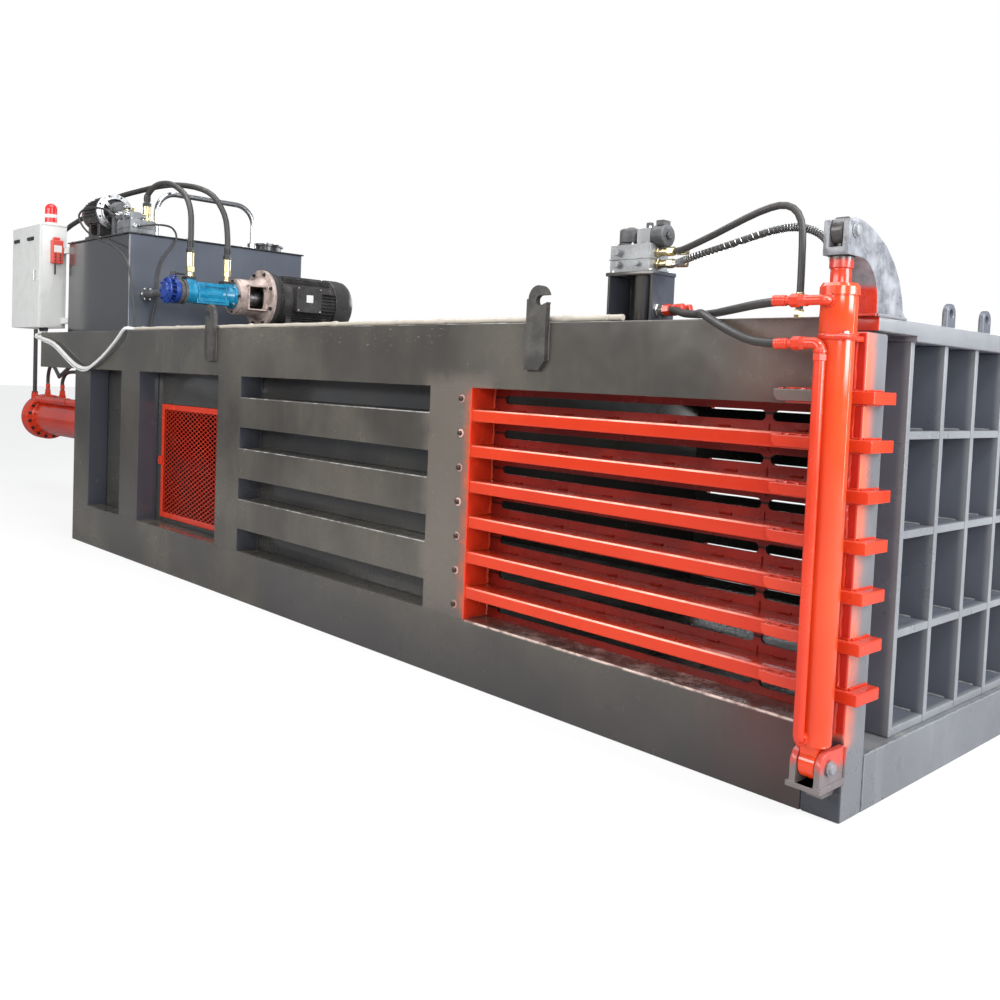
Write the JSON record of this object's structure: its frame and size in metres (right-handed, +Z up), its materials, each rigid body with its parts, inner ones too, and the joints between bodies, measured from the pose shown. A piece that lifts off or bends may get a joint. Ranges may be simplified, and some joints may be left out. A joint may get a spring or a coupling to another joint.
{
  "type": "closed-gate horizontal baling press",
  "caption": "Horizontal hydraulic baling press: box frame, barred chamber with strap slots, lifting end gate, ram cylinder and roof power pack.",
  "frame": {"origin": "on the floor under the middle of the side walls, on the underside of the middle floor cross-member", "axes": "+X along the press towards the end gate, +Z up, the side with the control cabinet and pump is -Y"},
  "size_m": [10.45, 2.3818, 2.9509],
  "materials": {
    "frame_paint": "glossy dark grey-brown enamel",
    "red_paint": "glossy red-orange enamel",
    "gate_paint": "light grey primer",
    "bolt_steel": "dark bolts",
    "rod_chrome": "hard chrome",
    "shaft_steel": "machined steel",
    "tank_paint": "glossy blue-grey enamel",
    "motor_paint": "dark motor enamel",
    "housing_iron": "bare cast iron",
    "pump_paint": "teal blue enamel",
    "valve_paint": "deep blue enamel",
    "valve_iron": "phosphated valve bodies",
    "cabinet_paint": "textured light grey powder coat",
    "lens_red": "red lens",
    "remote_red": "red handset shell",
    "pipe_grey": "light grey pipe",
    "conduit_white": "off-white conduit",
    "hose_black": "black hose"
  },
  "bodies": {
    "press": {"bottom_beams": "frame_paint", "top_beams": "frame_paint", "side_posts": "frame_paint", "jamb_plates": "frame_paint", "jamb_bolts": "bolt_steel", "side_ribs": "frame_paint", "side_skins": "frame_paint", "cross_bars": "red_paint", "liner_bars": "red_paint", "end_posts": "gate_paint", "post_fingers": "red_paint", "end_sill": "gate_paint", "floor_frame": "frame_paint", "roof_plates": "frame_paint", "rear_frame": "frame_paint", "tank_deck": "frame_paint", "lifting_hooks": "frame_paint", "lift_barrels": "red_paint", "foot_clevises": "frame_paint", "barrel_clamps": "red_paint", "side_pipes": "red_paint", "main_barrel": "red_paint", "oil_tank": "tank_paint", "pump_motor": "motor_paint", "motor_base": "frame_paint", "bell_housing": "housing_iron", "double_pump": "pump_paint", "suction_valve": "valve_paint", "tank_motor": "motor_paint", "tank_valves": "valve_iron", "control_cabinet": "cabinet_paint", "warning_beacon": "lens_red", "hand_remote": "remote_red", "valve_stand": "frame_paint", "gate_manifold": "valve_iron", "pump_hose_left": "hose_black", "pump_hose_right": "hose_black", "return_pipe": "pipe_grey", "gate_hose_front": "hose_black", "gate_hose_rear": "hose_black", "upper_port_hose": "hose_black", "side_pipe_hose": "hose_black", "ram_hose_left": "hose_black", "ram_hose_mid": "hose_black", "cabinet_cable": "conduit_white", "deck_conduit": "conduit_white", "tank_cable": "hose_black"},
    "gate": {"gate_plate": "gate_paint", "gate_uprights": "gate_paint", "gate_shelves": "gate_paint", "gate_top_bar": "gate_paint", "lift_arms": "gate_paint", "lift_rods": "rod_chrome"},
    "ram": {"main_rod": "rod_chrome", "ram_head": "frame_paint"},
    "near_door": {"near_mesh_door": "red_paint"},
    "far_door": {"far_mesh_door": "red_paint"},
    "cabinet_door": {"cabinet_door": "cabinet_paint"},
    "coupling": {"shaft_coupling": "shaft_steel"},
    "lever": {"valve_lever": "valve_paint"}
  },
  "joints": [
    {"name": "gate_lift", "type": "slide", "parent": "press", "child": "gate", "axis": [0, 0, 1], "range_m": [0, 1.1]},
    {"name": "ram_stroke", "type": "slide", "parent": "press", "child": "ram", "axis": [1, 0, 0], "range_m": [0, 1.8]},
    {"name": "near_door_hinge", "type": "hinge", "parent": "press", "child": "near_door", "pos_m": [-1.042, -0.8405, 0.756], "axis": [0, 0, 1], "range_deg": [0, 90]},
    {"name": "far_door_hinge", "type": "hinge", "parent": "press", "child": "far_door", "pos_m": [-1.042, 0.8405, 0.756], "axis": [0, 0, -1], "range_deg": [0, 90]},
    {"name": "cabinet_hinge", "type": "hinge", "parent": "press", "child": "cabinet_door", "pos_m": [-5.011, -0.969, 2.2], "axis": [0, 0, -1], "range_deg": [0, 110]},
    {"name": "shaft_spin", "type": "hinge", "parent": "press", "child": "coupling", "pos_m": [-2.285, 0, 2.018], "axis": [0, 1, 0], "continuous": true},
    {"name": "valve_turn", "type": "hinge", "parent": "press", "child": "lever", "pos_m": [-2.285, -0.692, 2.15], "axis": [0, 0, 1], "range_deg": [0, 90]}
  ]
}
